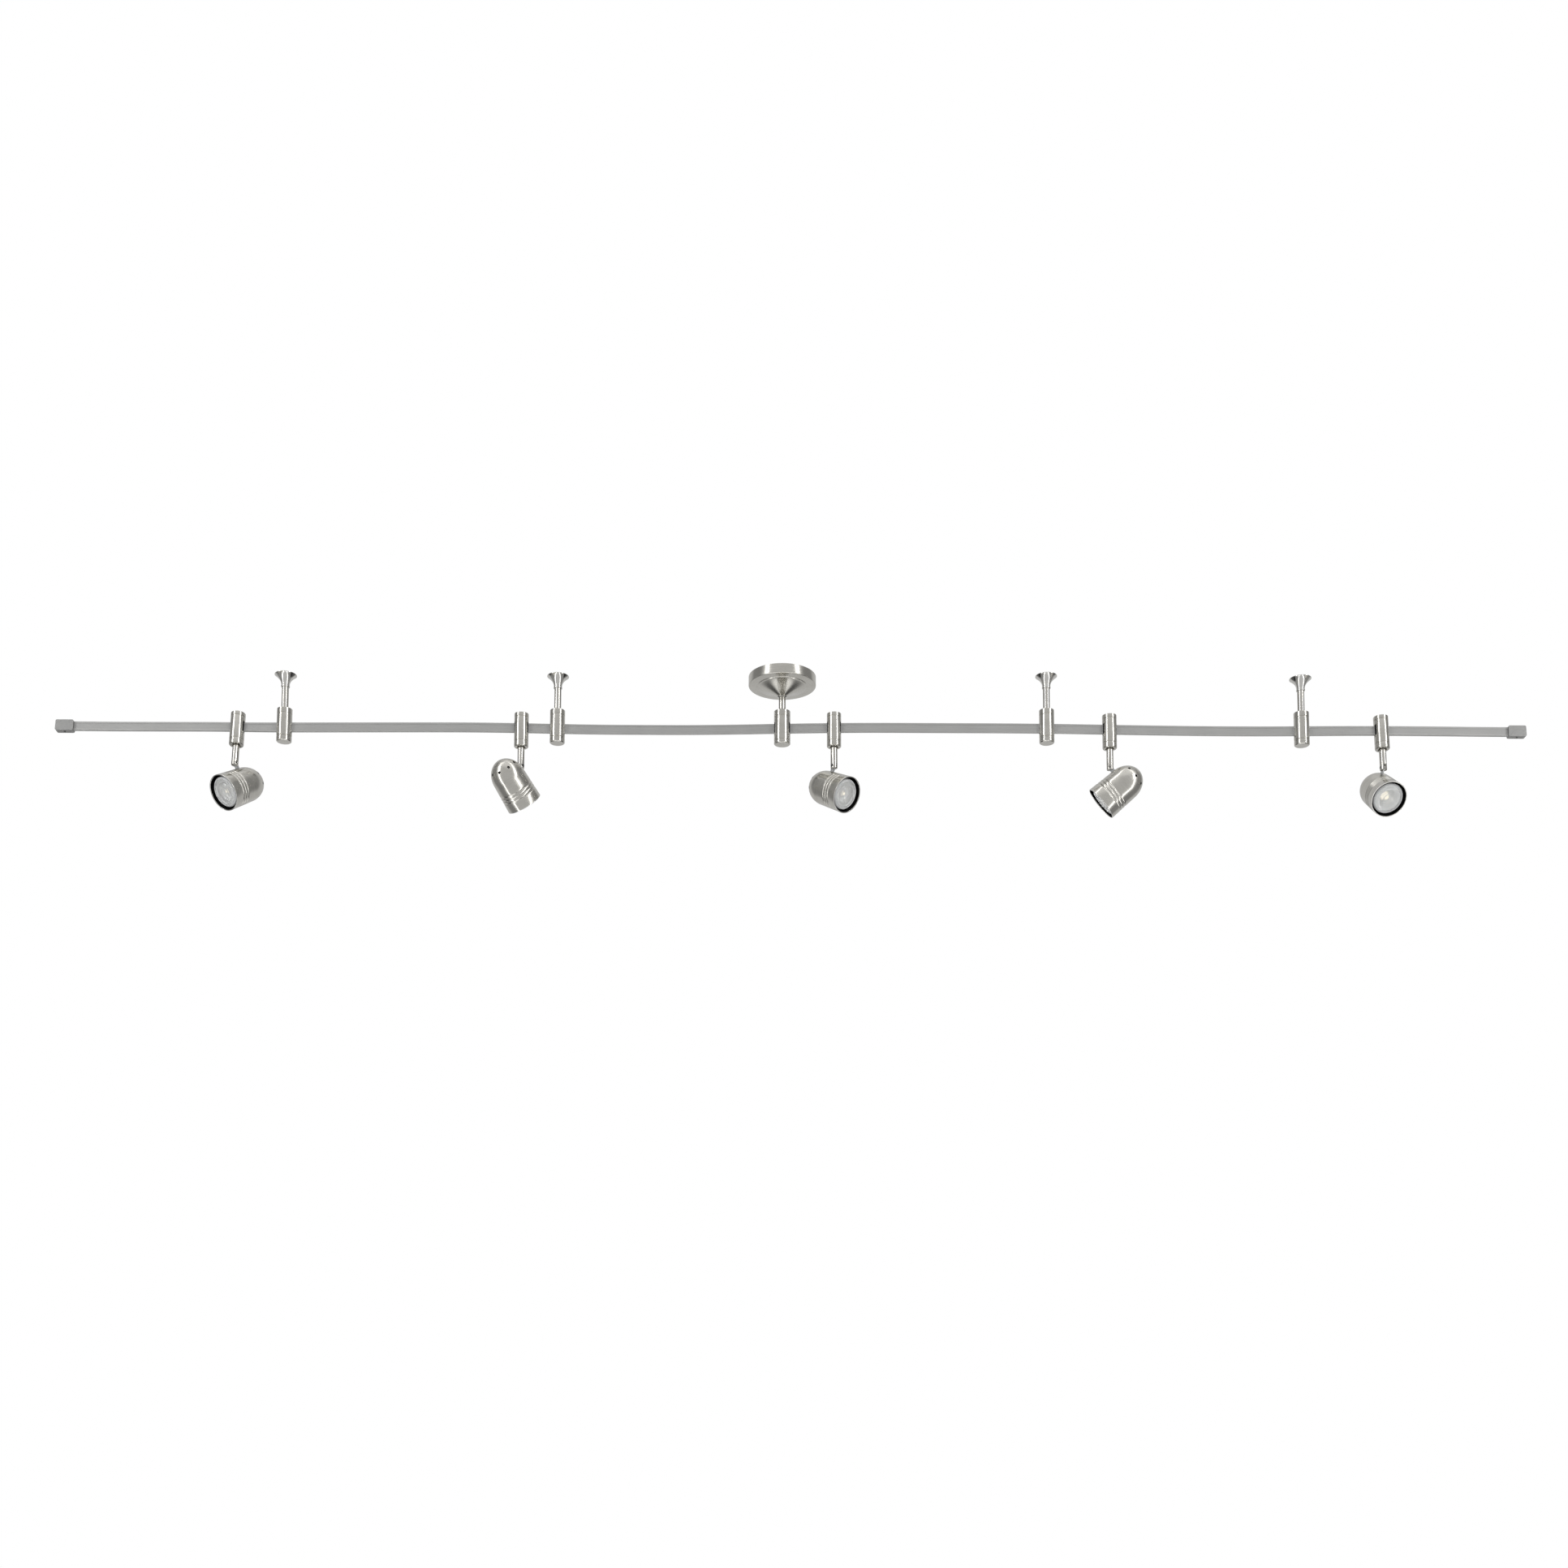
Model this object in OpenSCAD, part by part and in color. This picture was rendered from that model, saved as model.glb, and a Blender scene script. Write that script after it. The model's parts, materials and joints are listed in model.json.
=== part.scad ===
// Ceiling track light: a flat rail, bent in gentle waves, hangs from a canopy and four standoffs and
// carries five lamp heads that swivel and tilt. Millimetres, +Z up. The origin is the centre of the
// canopy's ceiling face, and +X runs along the rail.

/* [Rail] */
// Length over both end caps
rail_span = 2441.5; // [2400:0.5:2500]
// How far the rail's middle lies to the right of the canopy
rail_offset = 17; // [0:0.5:30]
// Height of the rail band
rail_h = 16; // [15:0.5:17]
// Thickness of the rail band
rail_t = 4; // [3.6:0.1:4.4]
// Depth of the rail's middle below the ceiling
rail_drop = 90.5; // [88:0.5:110]
// Twist of the rail's left end, in degrees
left_twist = 7; // [0:1:16]
// Twist of the rail's right end, in degrees
right_twist = 4; // [0:1:8]

/* [End caps] */
// Length of an end cap
cap_len = 29.5; // [25:0.5:35]
// Height of an end cap
cap_h = 19; // [18.6:0.2:22]
// Depth of an end cap, front to back
cap_d = 10.2; // [9:0.2:12]
// Corner radius of an end cap
cap_r = 2.5; // [1:0.5:4]

/* [Canopy and feed] */
// Diameter of the canopy
canopy_d = 112; // [110:1:120]
// Gap between the canopy's edge and the ceiling
canopy_gap = 1.5; // [0:0.5:2]
// Height of the canopy's straight wall
canopy_wall_h = 16; // [13:0.5:17]
// Depth of the canopy's tip below the ceiling
canopy_tip = 34.5; // [33:0.5:42]
// Sheet thickness of the canopy
sheet_t = 1; // [0.8:0.1:1.2]
// Diameter of the feed stem
feed_stem_d = 11.5; // [11:0.5:13]
// Diameter of the feed clamp
feed_clamp_d = 27; // [26:0.5:30]
// Height of the feed clamp
feed_clamp_h = 56; // [52:1:58]

/* [Standoffs] */
// Diameter of a standoff's cup at the ceiling
cup_d = 36; // [34:1:40]
// Height of a standoff's cup
cup_h = 21.6; // [20:0.2:26]
// Diameter of a standoff's rod
rod_d = 11.4; // [10:0.2:12]
// Diameter of a standoff's clamp
standoff_clamp_d = 24.8; // [24:0.2:28]
// Height of a standoff's clamp
standoff_clamp_h = 56; // [54:1:60]

/* [Head clamps and stems] */
// Diameter of a head's clamp
head_clamp_d = 23.6; // [23:0.2:26]
// Height of a head's clamp
head_clamp_h = 57; // [54:0.5:58]
// Height of a head clamp's top above the rail's middle
head_clamp_up = 24; // [23:0.5:27]
// Diameter of a head's stem
stem_d = 11.3; // [11:0.1:12]
// Depth of the tilt pivot below the rail's middle
pivot_drop = 65; // [62.5:0.5:70]
// How far the stem reaches below the pivot
stem_tail = 4; // [3.8:0.1:4.4]

/* [Lamp heads] */
// Diameter of a shell at its open rim
rim_d = 60; // [58:0.5:61]
// Diameter of a shell where its dome begins
shoulder_d = 56.4; // [55:0.2:58]
// Length of a shell
shell_len = 81; // [79:0.5:86]
// Length of a shell's dome
dome_len = 33; // [30:0.5:36]
// Wall thickness of a shell
shell_wall = 1.2; // [1:0.1:1.5]
// Distance from the pivot to the shell's axis
axis_drop = 37.4; // [37:0.1:40]
// Distance from the rim to the pivot, along the shell's axis
rim_reach = 50; // [48:0.5:52]
// Distance from the rim to the first groove
groove_start = 16.5; // [14:0.5:18]
// Spacing of the shell's grooves
groove_pitch = 5.5; // [5:0.1:6]
// Number of vent holes round the dome
vent_count = 8; // [4:1:10]
// Diameter of a vent hole
vent_d = 4.6; // [3:0.2:6]
// Diameter of a lamp
lamp_d = 50; // [48:1:51]
// Depth of a lamp's face inside the rim
lamp_recess = 2.8; // [2:0.2:8]

/* [Hidden] */
$fn = 64;

// Places along the rail, and how each head stands: its turn about its stem (0 looks along +X, 90 away
// from the viewer) and its tilt below the horizontal.
standoff_x = [-826.8, -373.8, 439.2, 864.8];
head_x = [-904.3, -433.1, 86, 544, 996.8];
head_turn = [-131, 48, -40, 164, -83];
head_tilt = [37, 44.5, 26.5, 38.5, 41];

// Turning points of the rail's wave in plan, [x, y]. The rail eases from one to the next.
bends = [[-1230, -5.5], [-1070, -3.6], [-960, -3.5], [-850, -1.4], [-540, -3.1], [-250, 5.8],
         [-190, 6.2], [165, -5], [320, -4.2], [780, 6.8], [985, 3.8], [1245, 7.5]];
left_twist_zone = [-842, -892];
right_twist_zone = [885, 980];
rail_step = 16;
rail_gap = 0.5;
bar_h = 3.2;
core_inset = 0.3;
bar_chamfer = 0.6;

fit = 0.15;
running_fit = 0.05;
slot_h = rail_h + 0.6;
jaw_depth = 0.6;
jaw_gap = 0.1;
block_h = rail_h + 2.2;
edge_chamfer = 0.6;
groove_w = 0.8;
groove_d = 0.5;
grub_r = 1.5;
grub_socket_r = 0.85;

rail_x0 = rail_offset - rail_span / 2;
rail_x1 = rail_offset + rail_span / 2;
cap_wall = 3;
feed_clamp_up = feed_clamp_h / 2 + 1;
standoff_clamp_up = standoff_clamp_h / 2 + 3;
collar_z = -canopy_tip - 0.2;
collar_r = 8.4;
collar_h = 2.8;
nipple_r = 4.9;
nipple_len = 48.5;
lead_r = 0.7;
lead_x = 1;
lead_y = -2.95;
bar_len = 104;
bar_w = 24;
bar_t = 2;
screw_hole_r = 2.4;
slot_places = [[88.9, 9], [69.85, 7]];

base_r = 13;
base_t = 3;
ceiling_hole_r = 2.25;
screw_pocket = [5, 4];
standoff_cap_h = 9;
standoff_rail_slot = rail_t + 2 * fit;

web_z = head_clamp_up - head_clamp_h + 4;
stem_recess_r = 7.2;
web_t = 3.3;
neck_r = 4;
swage_r = 6.2;
fork_slot = 2.6;
tab_t = 2.2;
tab_r = 3.5;
pin_r = 1.5;

socket_r = 13;
socket_flat = 12;
socket_front = lamp_recess + 48;
socket_len = 14;
lamp_pin_r = 2.5;
lamp_pin_x = 5;

// ---- shape of the rail -------------------------------------------------------------------------

function blend(t) = (1 - cos(180 * min(max(t, 0), 1))) / 2;

function wave(x, k = 0) =
    k < len(bends) - 2 && x > bends[k + 1][0]
        ? wave(x, k + 1)
        : bends[k][1] + (bends[k + 1][1] - bends[k][1])
            * blend((x - bends[k][0]) / (bends[k + 1][0] - bends[k][0]));

function rail_y(x) = wave(x) - wave(0);

function rail_heading(x) = atan(rail_y(x + 0.5) - rail_y(x - 0.5));

function zone_part(x, zone) = blend((x - zone[0]) / (zone[1] - zone[0]));

function rail_twist(x) =
    left_twist * zone_part(x, left_twist_zone) + right_twist * zone_part(x, right_twist_zone);

// Puts its children in the rail's frame at x: X along the rail, Z up across its height.
module on_rail(x) {
    translate([x, rail_y(x), -rail_drop])
        rotate([0, 0, rail_heading(x)])
            rotate([-rail_twist(x), 0, 0])
                children();
}

function section_at(x, outline) =
    let (t = rail_twist(x), h = rail_heading(x))
    [for (p = outline)
        let (across = p[0] * cos(t) + p[1] * sin(t))
        [x - across * sin(h), rail_y(x) + across * cos(h), -rail_drop - p[0] * sin(t) + p[1] * cos(t)]];

// Sweeps an outline of [across, up] points along the rail from x0 to x1.
module rail_sweep(x0, x1, outline) {
    n = ceil((x1 - x0) / rail_step);
    m = len(outline);
    points = [for (i = [0:n]) each section_at(x0 + (x1 - x0) * i / n, outline)];
    sides = [for (i = [0:n - 1], j = [0:m - 1])
        let (a = i * m + j, b = i * m + (j + 1) % m)
        each [[a, a + m, b + m], [a, b + m, b]]];
    first = [for (j = [0:m - 1]) j];
    last = [for (j = [m - 1:-1:0]) n * m + j];
    polyhedron(points, concat(sides, [first, last]), convexity = 10);
}

function box_outline(half_t, z0, z1) = [[-half_t, z0], [half_t, z0], [half_t, z1], [-half_t, z1]];

module rail_core(x0, x1) {
    color([0.62, 0.62, 0.6])
        rail_sweep(x0, x1, box_outline(rail_t / 2 - core_inset, bar_h - rail_h / 2, rail_h / 2 - bar_h));
}

module rail_bars(x0, x1) {
    top = rail_h / 2;
    side = rail_t / 2;
    upper = [[-side, top - bar_h], [side, top - bar_h], [side, top - bar_chamfer],
             [side - bar_chamfer, top], [bar_chamfer - side, top], [-side, top - bar_chamfer]];
    color([0.66, 0.66, 0.64]) {
        rail_sweep(x0, x1, upper);
        rail_sweep(x0, x1, [for (p = upper) -p]);
    }
}

// ---- shared turned and rounded shapes ----------------------------------------------------------

function groove_points(r, z) = [[r, z - groove_w / 2], [r - groove_d, z - groove_w / 2],
                                [r - groove_d, z + groove_w / 2], [r, z + groove_w / 2]];

// Half outline of a turned cylinder from z = 0 to h, with chamfered edges and square grooves.
function turned_outline(r, h, grooves) = concat(
    [[0, 0], [r - edge_chamfer, 0], [r, edge_chamfer]],
    [for (z = grooves) each groove_points(r, z)],
    [[r, h - edge_chamfer], [r - edge_chamfer, h], [0, h]]);

module turned(r, h, grooves = []) {
    rotate_extrude() polygon(turned_outline(r, h, grooves));
}

module rounded_rect(size, r) {
    square([size[0] - 2 * r, size[1]], center = true);
    square([size[0], size[1] - 2 * r], center = true);
    for (i = [-1, 1], j = [-1, 1])
        translate([i * (size[0] / 2 - r), j * (size[1] / 2 - r)]) circle(r, $fn = 32);
}

// A grub screw along +Z with its hex socket at the bottom.
module grub(len) {
    difference() {
        cylinder(r = grub_r - 0.02, h = len, $fn = 32);
        translate([0, 0, -0.01]) cylinder(r = grub_socket_r, h = len / 2, $fn = 6);
    }
}

// ---- end caps ----------------------------------------------------------------------------------

function cap_x(side) = side < 0 ? rail_x0 + cap_len / 2 : rail_x1 - cap_len / 2;

module end_cap(side) {
    color([0.6, 0.6, 0.58])
        on_rail(cap_x(side))
            difference() {
                rotate([90, 0, 0])
                    linear_extrude(cap_d, center = true) rounded_rect([cap_len, cap_h], cap_r);
                translate([-side * cap_wall, 0, 0])
                    cube([cap_len, rail_t + 2 * fit, rail_h + 2 * fit], center = true);
                translate([0, 0, -cap_h]) cylinder(r = grub_r, h = cap_h, $fn = 32);
            }
}

// ---- clamps on the rail ------------------------------------------------------------------------

// A split clamp's whole outline, its top at up above the rail's middle.
module clamp_blank(d, h, up, grooves) {
    translate([0, 0, up - h]) turned(d / 2, h, grooves);
}

module clamp_body(d, h, up, grooves) {
    split = jaw_depth * d / 2;
    difference() {
        clamp_blank(d, h, up, grooves);
        translate([-d, -d - split, up - h - 1]) cube([2 * d, d, h + 2]);
        translate([-d, -split - 1, -slot_h / 2]) cube([2 * d, split + 1 + rail_t / 2 + fit, slot_h]);
        translate([-d, -split - 1, -block_h / 2]) cube([2 * d, split + 1 - rail_t / 2 - fit, block_h]);
        rotate([-90, 0, 0]) cylinder(r = grub_r, h = d, $fn = 32);
        children();
    }
}

module clamp_jaw(d, h, up, grooves) {
    split = jaw_depth * d / 2 + jaw_gap;
    intersection() {
        clamp_blank(d, h, up, grooves);
        translate([-d, -d - split, up - h - 1]) cube([2 * d, d, h + 2]);
    }
}

// The insulating block between the jaw and the rail, cut off just inside the clamp's outline.
module contact_block(d) {
    front = jaw_depth * d / 2;
    back = rail_t / 2 + fit;
    h = block_h - 2 * jaw_gap;
    intersection() {
        translate([-d, -front, -h / 2]) cube([2 * d, front - back, h]);
        cylinder(r = d / 2 - 0.3, h = h, center = true);
    }
}

module clamp_grub(d) {
    len = 0.6 * d / 2;
    translate([0, rail_t / 2 + fit + len, 0]) rotate([90, 0, 0]) grub(len);
}

function feed_grooves() = [5.7, feed_clamp_h - 9.9];
function head_grooves() = [9.6, head_clamp_h - 6.6];

module head_clamp(k) {
    color([0.72, 0.71, 0.69])
        on_rail(head_x[k])
            clamp_body(head_clamp_d, head_clamp_h, head_clamp_up, head_grooves()) {
                translate([0, 0, -head_clamp_h]) cylinder(r = stem_recess_r, h = head_clamp_h + web_z);
                translate([0, 0, -head_clamp_h]) cylinder(r = neck_r + running_fit, h = head_clamp_h);
                translate([0, 0, web_z + web_t]) cylinder(r = swage_r + 0.4, h = -web_z - web_t);
            }
}

module feed_clamp() {
    color([0.72, 0.71, 0.69])
        on_rail(0)
            clamp_body(feed_clamp_d, feed_clamp_h, feed_clamp_up, feed_grooves()) {
                translate([0, 0, feed_clamp_up - 8.2]) cylinder(r = 4.55, h = 10);
                cylinder(r = 4, h = feed_clamp_up);
            }
}

module clamp_jaws() {
    color([0.74, 0.73, 0.71]) {
        for (x = head_x)
            on_rail(x) clamp_jaw(head_clamp_d, head_clamp_h, head_clamp_up, head_grooves());
        on_rail(0) clamp_jaw(feed_clamp_d, feed_clamp_h, feed_clamp_up, feed_grooves());
    }
}

module contact_blocks() {
    color([0.08, 0.08, 0.08]) {
        for (x = head_x)
            on_rail(x) contact_block(head_clamp_d);
        on_rail(0) contact_block(feed_clamp_d);
    }
}

module grub_screws() {
    color([0.35, 0.35, 0.35]) {
        for (side = [-1, 1])
            on_rail(cap_x(side)) translate([0, 0, -cap_h / 2 - 0.7]) grub(cap_h / 2 - rail_h / 2 + 0.6);
        for (x = head_x)
            on_rail(x) clamp_grub(head_clamp_d);
        on_rail(0) clamp_grub(feed_clamp_d);
    }
}

// ---- canopy and feed ---------------------------------------------------------------------------

bell_r = 41;
bell_tip_r = 7;
bell_sweep = 65;
bell_steps = 10;
wall_foot = -canopy_gap - canopy_wall_h;
step_z = wall_foot - 1;

// Outline of the canopy's outer skin from its edge to its tip, drawn in by t for the inner skin.
function canopy_skin(t) = concat(
    [[canopy_d / 2 - t, -canopy_gap]],
    [for (a = [0:30:90]) [canopy_d / 2 - 2 + (2 - t) * cos(a), wall_foot + 2 - (2 - t) * sin(a)]],
    [[bell_r + 1, step_z + t]],
    [for (i = [0:bell_steps])
        let (a = bell_sweep * i / bell_steps)
        [bell_r - t - (bell_r - bell_tip_r) * sin(a) / sin(bell_sweep),
         step_z - 1 + t - (canopy_tip - 1 + step_z) * (1 - cos(a)) / (1 - cos(bell_sweep))]]);

module canopy_cover() {
    outer = canopy_skin(0);
    inner = canopy_skin(sheet_t);
    hole = [[nipple_r + 0.3, -canopy_tip], [nipple_r + 0.3, sheet_t - canopy_tip]];
    color([0.7, 0.69, 0.67])
        rotate_extrude($fn = 96)
            polygon(concat(outer, hole, [for (i = [len(inner) - 1:-1:0]) inner[i]]));
}

module canopy_crossbar() {
    color([0.6, 0.6, 0.58])
        difference() {
            translate([-bar_len / 2, -bar_w / 2, -bar_t]) cube([bar_len, bar_w, bar_t]);
            translate([0, 0, -bar_t - 1]) cylinder(r = nipple_r + 0.1, h = bar_t + 2);
            translate([18, 0, -bar_t - 1]) cylinder(r = 2.05, h = bar_t + 2, $fn = 32);
            for (place = slot_places, side = [-1, 1])
                translate([side * place[0] / 2, 0, -bar_t - 1])
                    linear_extrude(bar_t + 2) {
                        run = place[1] - 2 * screw_hole_r;
                        square([run, 2 * screw_hole_r], center = true);
                        for (end = [-1, 1])
                            translate([end * run / 2, 0]) circle(screw_hole_r, $fn = 32);
                    }
        }
}

module canopy_nipple() {
    color("goldenrod")
        translate([0, 0, -nipple_len])
            difference() {
                cylinder(r = nipple_r, h = nipple_len);
                translate([0, 0, -1]) cylinder(r = 3.9, h = nipple_len + 2);
            }
}

module canopy_collar() {
    color([0.72, 0.71, 0.69])
        translate([0, 0, collar_z - collar_h])
            difference() {
                turned(collar_r, collar_h);
                translate([0, 0, -1]) cylinder(r = nipple_r + 0.1, h = collar_h + 2);
            }
}

module earth_screw() {
    color("green")
        translate([18, 0, 0]) {
            translate([0, 0, -bar_t]) cylinder(r = 2, h = bar_t, $fn = 32);
            translate([0, 0, -bar_t - 2.5]) cylinder(r = 4, h = 2.5, $fn = 32);
        }
}

module feed_stem() {
    top = collar_z - collar_h;
    foot = feed_clamp_up - rail_drop;
    color([0.72, 0.71, 0.69])
        difference() {
            union() {
                translate([0, 0, foot]) cylinder(d = feed_stem_d, h = top - foot);
                translate([0, 0, foot - 8]) cylinder(r = 4.5, h = 8.5);
            }
            translate([0, 0, -nipple_len - 0.2]) cylinder(r = nipple_r + 0.1, h = nipple_len);
            translate([0, 0, foot - 9]) cylinder(r = 3.9, h = rail_drop);
        }
}

module feed_leads() {
    low = block_h / 2 - rail_drop;
    for (side = [-1, 1])
        color(side < 0 ? "black" : "white")
            translate([side * lead_x, lead_y, low]) cylinder(r = lead_r, h = -0.5 - low, $fn = 24);
}

// ---- standoffs ---------------------------------------------------------------------------------

cup_neck_r = rod_d / 2 + 1.1;
cup_steps = 8;
cup_collar_h = 3.2;

// Puts its children on the ceiling above the rail at x, turned with the rail.
module above_rail(x) {
    translate([x, rail_y(x), 0]) rotate([0, 0, rail_heading(x)]) children();
}

// A trumpet: its flare is a parabola from the lip to the neck, over a small grooved collar.
module standoff_cup(k) {
    flare_h = cup_h - cup_collar_h - 1;
    lip_r = cup_d / 2;
    flare = [for (i = [0:cup_steps])
        let (u = i / cup_steps)
        [cup_neck_r + (lip_r - cup_neck_r) * pow(1 - u, 2), -1 - flare_h * u]];
    collar = [[cup_neck_r - 0.5, -cup_h + cup_collar_h], [cup_neck_r - 0.5, -cup_h + cup_collar_h - 0.7],
              [cup_neck_r + 0.3, -cup_h + cup_collar_h - 0.7], [cup_neck_r + 0.3, 0.5 - cup_h],
              [cup_neck_r - 0.2, -cup_h]];
    bore = [[rod_d / 2 + 0.05, -cup_h], [rod_d / 2 + 0.05, -base_t - screw_pocket[1]],
            [screw_pocket[0], -base_t - screw_pocket[1]], [screw_pocket[0], -base_t],
            [base_r + 0.05, -base_t], [base_r + 0.05, 0]];
    color([0.8, 0.79, 0.77])
        above_rail(standoff_x[k])
            rotate_extrude() polygon(concat([[lip_r, 0]], flare, collar, bore));
}

module standoff_bases() {
    color([0.55, 0.55, 0.53])
        for (x = standoff_x)
            above_rail(x) translate([0, 0, -base_t])
                difference() {
                    cylinder(r = base_r, h = base_t);
                    translate([0, 0, -1]) cylinder(r = ceiling_hole_r, h = base_t + 2, $fn = 32);
                }
}

module standoff_rods() {
    top = -base_t - screw_pocket[1] - 0.1;
    foot = standoff_clamp_up - rail_drop;
    color([0.72, 0.71, 0.69])
        for (x = standoff_x)
            above_rail(x) {
                translate([0, 0, foot]) cylinder(d = rod_d, h = top - foot);
                translate([0, 0, foot - 8]) cylinder(r = 4, h = 8.5);
            }
}

module standoff_clamps() {
    h = standoff_clamp_h - standoff_cap_h;
    r = standoff_clamp_d / 2;
    spigot_r = r - 2;
    color([0.72, 0.71, 0.69])
        for (x = standoff_x)
            on_rail(x)
                difference() {
                    union() {
                        translate([0, 0, standoff_clamp_up - h]) turned(r, h, [h - 9]);
                        translate([0, 0, standoff_clamp_up - h - 4]) cylinder(r = spigot_r, h = 5);
                    }
                    translate([-r - 1, -standoff_rail_slot / 2, -standoff_clamp_h])
                        cube([2 * r + 2, standoff_rail_slot, standoff_clamp_h + slot_h / 2]);
                    translate([0, 0, standoff_clamp_up - 8.2]) cylinder(r = 4.05, h = 10);
                }
}

module standoff_caps() {
    r = standoff_clamp_d / 2;
    color([0.74, 0.73, 0.71])
        for (x = standoff_x)
            on_rail(x) translate([0, 0, standoff_clamp_up - standoff_clamp_h])
                difference() {
                    turned(r, standoff_cap_h - 0.1, [standoff_cap_h / 2]);
                    translate([0, 0, standoff_cap_h - 4.3]) cylinder(r = r - 1.95, h = 5);
                }
}

// ---- stems and pivots --------------------------------------------------------------------------

// Puts its children on a head's swivel axis, X along its aim and Z up the stem.
module on_stem(k) {
    on_rail(head_x[k]) rotate([0, 0, head_turn[k]]) children();
}

module stem(k) {
    shoulder = web_z - 0.2;
    foot = -pivot_drop - stem_tail;
    neck_top = web_z + web_t + 0.2;
    color([0.7, 0.69, 0.67])
        on_stem(k)
            difference() {
                union() {
                    translate([0, 0, foot]) cylinder(d = stem_d, h = shoulder - foot);
                    translate([0, 0, shoulder - 1]) cylinder(r = neck_r, h = neck_top - shoulder + 2);
                    translate([0, 0, neck_top]) cylinder(r = swage_r, h = 3);
                }
                translate([0, 0, -pivot_drop + 8]) cylinder(r = 2.2, h = pivot_drop);
                translate([-stem_d, -fork_slot / 2, foot - 1])
                    cube([2 * stem_d, fork_slot, stem_tail + tab_r + 2.1]);
                translate([0, 0, -pivot_drop]) rotate([90, 0, 0]) {
                    cylinder(r = pin_r + 0.02, h = 2 * stem_d, center = true, $fn = 32);
                    translate([0, 0, 4.4]) cylinder(r = 2.7, h = stem_d);
                }
            }
}

module pivot_screw(k) {
    color([0.55, 0.55, 0.53])
        on_stem(k) translate([0, 0, -pivot_drop]) rotate([90, 0, 0])
            difference() {
                union() {
                    translate([0, 0, -5]) cylinder(r = pin_r, h = 10, $fn = 32);
                    translate([0, 0, 4.45]) cylinder(r = 2.6, h = 1.1, $fn = 32);
                }
                translate([-3, -0.3, 5]) cube([6, 0.6, 2]);
            }
}

// ---- lamp heads --------------------------------------------------------------------------------

// Puts its children at a head's pivot, X along its aim.
module on_head(k) {
    on_stem(k) translate([0, 0, -pivot_drop]) rotate([0, head_tilt[k], 0]) children();
}

// Puts its children on a shell's axis: Z runs from the rim's plane to the dome, X towards the pivot.
module on_shell(k) {
    on_head(k) translate([rim_reach, 0, -axis_drop]) rotate([0, -90, 0]) children();
}

dome_z = shell_len - dome_len;
dome_steps = 12;
shell_groove_d = 0.8;
shell_groove_w = 2.4;
lip_w = 0.8;
vent_angle = 42;

function shell_r(z) = rim_d / 2 + (shoulder_d - rim_d) / 2 * z / dome_z;

function shell_grooves() = [for (i = [0:2])
    let (z = groove_start + i * groove_pitch)
    each [[shell_r(z - shell_groove_w / 2), z - shell_groove_w / 2],
          [shell_r(z) - shell_groove_d, z],
          [shell_r(z + shell_groove_w / 2), z + shell_groove_w / 2]]];

function dome_points(t) = [for (i = [0:dome_steps])
    let (a = 90 * i / dome_steps)
    [(shoulder_d / 2 - t) * cos(a), dome_z + (dome_len - t) * sin(a)]];

module shell(k) {
    inner = dome_points(shell_wall);
    outline = concat(
        [[rim_d / 2 - shell_wall, 0], [rim_d / 2 - 0.3, 0], [rim_d / 2, 0.3], [shell_r(lip_w), lip_w]],
        shell_grooves(), dome_points(0), [for (i = [dome_steps:-1:0]) inner[i]]);
    color([0.7, 0.69, 0.67])
        on_shell(k)
            difference() {
                rotate_extrude($fn = 96) polygon(outline);
                for (i = [0:vent_count - 1])
                    translate([0, 0, dome_z]) rotate([0, 0, (i + 0.5) * 360 / vent_count])
                        rotate([0, 90 - vent_angle, 0])
                            translate([0, 0, shoulder_d / 4]) cylinder(d = vent_d, h = shoulder_d, $fn = 32);
                translate([shoulder_d / 4, -tab_t / 2 - running_fit, rim_reach - tab_r - running_fit])
                    cube([shoulder_d, tab_t + 2 * running_fit, 2 * (tab_r + running_fit)]);
            }
}

// A flat tab from the pivot through the shell's wall, with a foot along the socket.
module bracket(k) {
    foot_z = socket_flat - axis_drop;
    foot_t = 2;
    color([0.66, 0.65, 0.63])
        on_head(k)
            difference() {
                union() {
                    rotate([90, 0, 0]) cylinder(r = tab_r, h = tab_t, center = true);
                    translate([-tab_r, -tab_t / 2, foot_z]) cube([2 * tab_r, tab_t, -foot_z]);
                    translate([rim_reach - socket_front - socket_len + 1, -tab_r, foot_z])
                        cube([tab_r + socket_front + socket_len - rim_reach - 1, 2 * tab_r, foot_t]);
                }
                rotate([90, 0, 0]) cylinder(r = pin_r + running_fit, h = 3 * tab_t, center = true, $fn = 32);
            }
}

// A reflector lamp with two bayonet pins, its face towards the rim.
module lamp(k) {
    r = lamp_d / 2;
    base_end = socket_front - 0.3;
    outline = [[0, lamp_recess], [r - 1, lamp_recess], [r, lamp_recess + 1], [r, lamp_recess + 5],
               [r - 1.2, lamp_recess + 8], [r - 4.5, lamp_recess + 16], [r - 9, lamp_recess + 25],
               [14, lamp_recess + 33], [11.5, lamp_recess + 36], [11.5, base_end], [0, base_end]];
    color([0.88, 0.88, 0.86])
        on_shell(k) {
            rotate_extrude() polygon(outline);
            for (side = [-1, 1])
                translate([0, side * lamp_pin_x, base_end - 0.5])
                    cylinder(r = lamp_pin_r, h = 6.5, $fn = 32);
        }
}

module socket(k) {
    color([0.92, 0.91, 0.88])
        on_shell(k)
            translate([0, 0, socket_front])
                difference() {
                    cylinder(r = socket_r, h = socket_len);
                    translate([socket_flat, -socket_r, -1]) cube([socket_r, 2 * socket_r, socket_len + 2]);
                    for (side = [-1, 1])
                        translate([0, side * lamp_pin_x, -1])
                            cylinder(r = lamp_pin_r + 0.2, h = 8, $fn = 32);
                }
}

// ---- nodes -------------------------------------------------------------------------------------

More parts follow.
